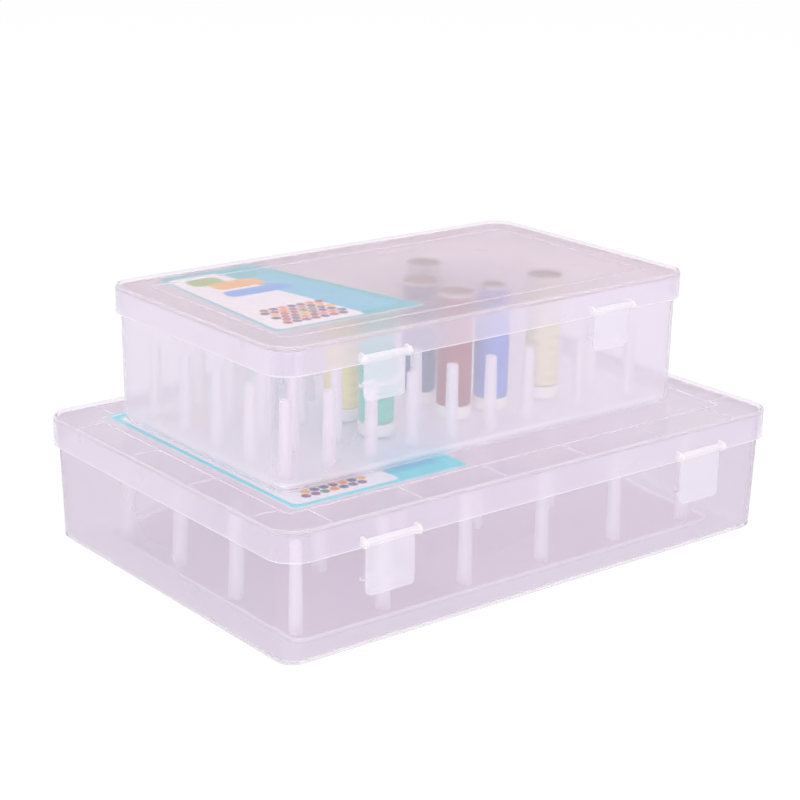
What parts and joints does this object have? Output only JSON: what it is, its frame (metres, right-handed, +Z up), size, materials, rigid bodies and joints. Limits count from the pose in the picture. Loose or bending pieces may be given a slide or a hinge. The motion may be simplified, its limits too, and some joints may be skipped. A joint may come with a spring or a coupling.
{
  "type": "thread storage case pair",
  "caption": "Stacked pair of clear lidded sewing cases with latches and hinges, each with a drop-in tray of pegs; thread spools stand on the upper pegs.",
  "frame": {"origin": "middle of the footprint, on the surface that the lower case stands on", "axes": "+X along the long side, from the left latch to the right one; +Y from the latches to the hinges; +Z up"},
  "size_m": [0.35, 0.251, 0.1521],
  "materials": {
    "frosted_case": "translucent frosted polypropylene, faint lilac haze, soft sheen",
    "clear_lid": "translucent polypropylene, smooth and clearer than the case",
    "peg_tray": "milky translucent polypropylene",
    "latch": "milky white polypropylene with bright edges",
    "printed_card": null,
    "spool_core": "white moulded polystyrene, satin",
    "thread_teal": "wound polyester sewing thread, soft sheen",
    "thread_crimson": "wound polyester sewing thread, soft sheen",
    "thread_blue": "wound polyester sewing thread, soft sheen",
    "thread_cream": "wound polyester sewing thread, soft sheen",
    "thread_yellow": "wound polyester sewing thread, soft sheen",
    "thread_slate": "wound polyester sewing thread, soft sheen",
    "thread_grey": "wound polyester sewing thread, soft sheen"
  },
  "bodies": {
    "lower_case": {"lower_case": "frosted_case", "lower_peg_tray": "peg_tray"},
    "lower_lid": {"lower_lid": "clear_lid", "lower_label_card": "printed_card"},
    "lower_latch_left": {"lower_latch_left": "latch"},
    "lower_latch_right": {"lower_latch_right": "latch"},
    "upper_case": {"upper_case": "frosted_case", "upper_peg_tray": "peg_tray"},
    "upper_lid": {"upper_lid": "clear_lid", "upper_label_card": "printed_card"},
    "upper_latch_left": {"upper_latch_left": "latch"},
    "upper_latch_right": {"upper_latch_right": "latch"},
    "spool_teal": {"spool_core_teal": "spool_core", "thread_teal": "thread_teal"},
    "spool_crimson": {"spool_core_crimson": "spool_core", "thread_crimson": "thread_crimson"},
    "spool_blue": {"spool_core_blue": "spool_core", "thread_blue": "thread_blue"},
    "spool_cream": {"spool_core_cream": "spool_core", "thread_cream": "thread_cream"},
    "spool_yellow": {"spool_core_yellow": "spool_core", "thread_yellow": "thread_yellow"},
    "spool_slate": {"spool_core_slate": "spool_core", "thread_slate": "thread_slate"},
    "spool_grey": {"spool_core_grey": "spool_core", "thread_grey": "thread_grey"}
  },
  "joints": [
    {"name": "lower_lid_hinge", "type": "hinge", "parent": "lower_case", "child": "lower_lid", "pos_m": [0, 0.1212, 0.0566], "axis": [-1, 0, 0], "range_deg": [0, 95]},
    {"name": "lower_latch_left_pivot", "type": "hinge", "parent": "lower_lid", "child": "lower_latch_left", "pos_m": [-0.1113, -0.1229, 0.0602], "axis": [-1, 0, 0], "range_deg": [0, 110]},
    {"name": "lower_latch_right_pivot", "type": "hinge", "parent": "lower_lid", "child": "lower_latch_right", "pos_m": [0.1113, -0.1229, 0.0602], "axis": [-1, 0, 0], "range_deg": [0, 110]},
    {"name": "upper_case_lift", "type": "slide", "parent": "lower_lid", "child": "upper_case", "axis": [0, 0, 1], "range_m": [0, 0.08]},
    {"name": "upper_lid_hinge", "type": "hinge", "parent": "upper_case", "child": "upper_lid", "pos_m": [-0.0023, 0.0943, 0.1361], "axis": [-1, 0, 0], "range_deg": [0, 100]},
    {"name": "upper_latch_left_pivot", "type": "hinge", "parent": "upper_lid", "child": "upper_latch_left", "pos_m": [-0.0828, -0.0798, 0.1397], "axis": [-1, 0, 0], "range_deg": [0, 110]},
    {"name": "upper_latch_right_pivot", "type": "hinge", "parent": "upper_lid", "child": "upper_latch_right", "pos_m": [0.0782, -0.0798, 0.1397], "axis": [-1, 0, 0], "range_deg": [0, 110]},
    {"name": "spool_teal_spin", "type": "hinge", "parent": "upper_case", "child": "spool_teal", "pos_m": [-0.0482, -0.0273, 0.0765], "axis": [0, 0, 1], "continuous": true},
    {"name": "spool_crimson_spin", "type": "hinge", "parent": "upper_case", "child": "spool_crimson", "pos_m": [0.00727, -0.0273, 0.0765], "axis": [0, 0, 1], "continuous": true},
    {"name": "spool_blue_spin", "type": "hinge", "parent": "upper_case", "child": "spool_blue", "pos_m": [0.035, -0.0273, 0.0765], "axis": [0, 0, 1], "continuous": true},
    {"name": "spool_cream_spin", "type": "hinge", "parent": "upper_case", "child": "spool_cream", "pos_m": [0.0743, -0.0273, 0.0765], "axis": [0, 0, 1], "continuous": true},
    {"name": "spool_yellow_spin", "type": "hinge", "parent": "upper_case", "child": "spool_yellow", "pos_m": [-0.0482, 0.0041, 0.0765], "axis": [0, 0, 1], "continuous": true},
    {"name": "spool_slate_spin", "type": "hinge", "parent": "upper_case", "child": "spool_slate", "pos_m": [0.00727, 0.0041, 0.0765], "axis": [0, 0, 1], "continuous": true},
    {"name": "spool_grey_spin", "type": "hinge", "parent": "upper_case", "child": "spool_grey", "pos_m": [0.035, 0.0355, 0.0765], "axis": [0, 0, 1], "continuous": true}
  ]
}
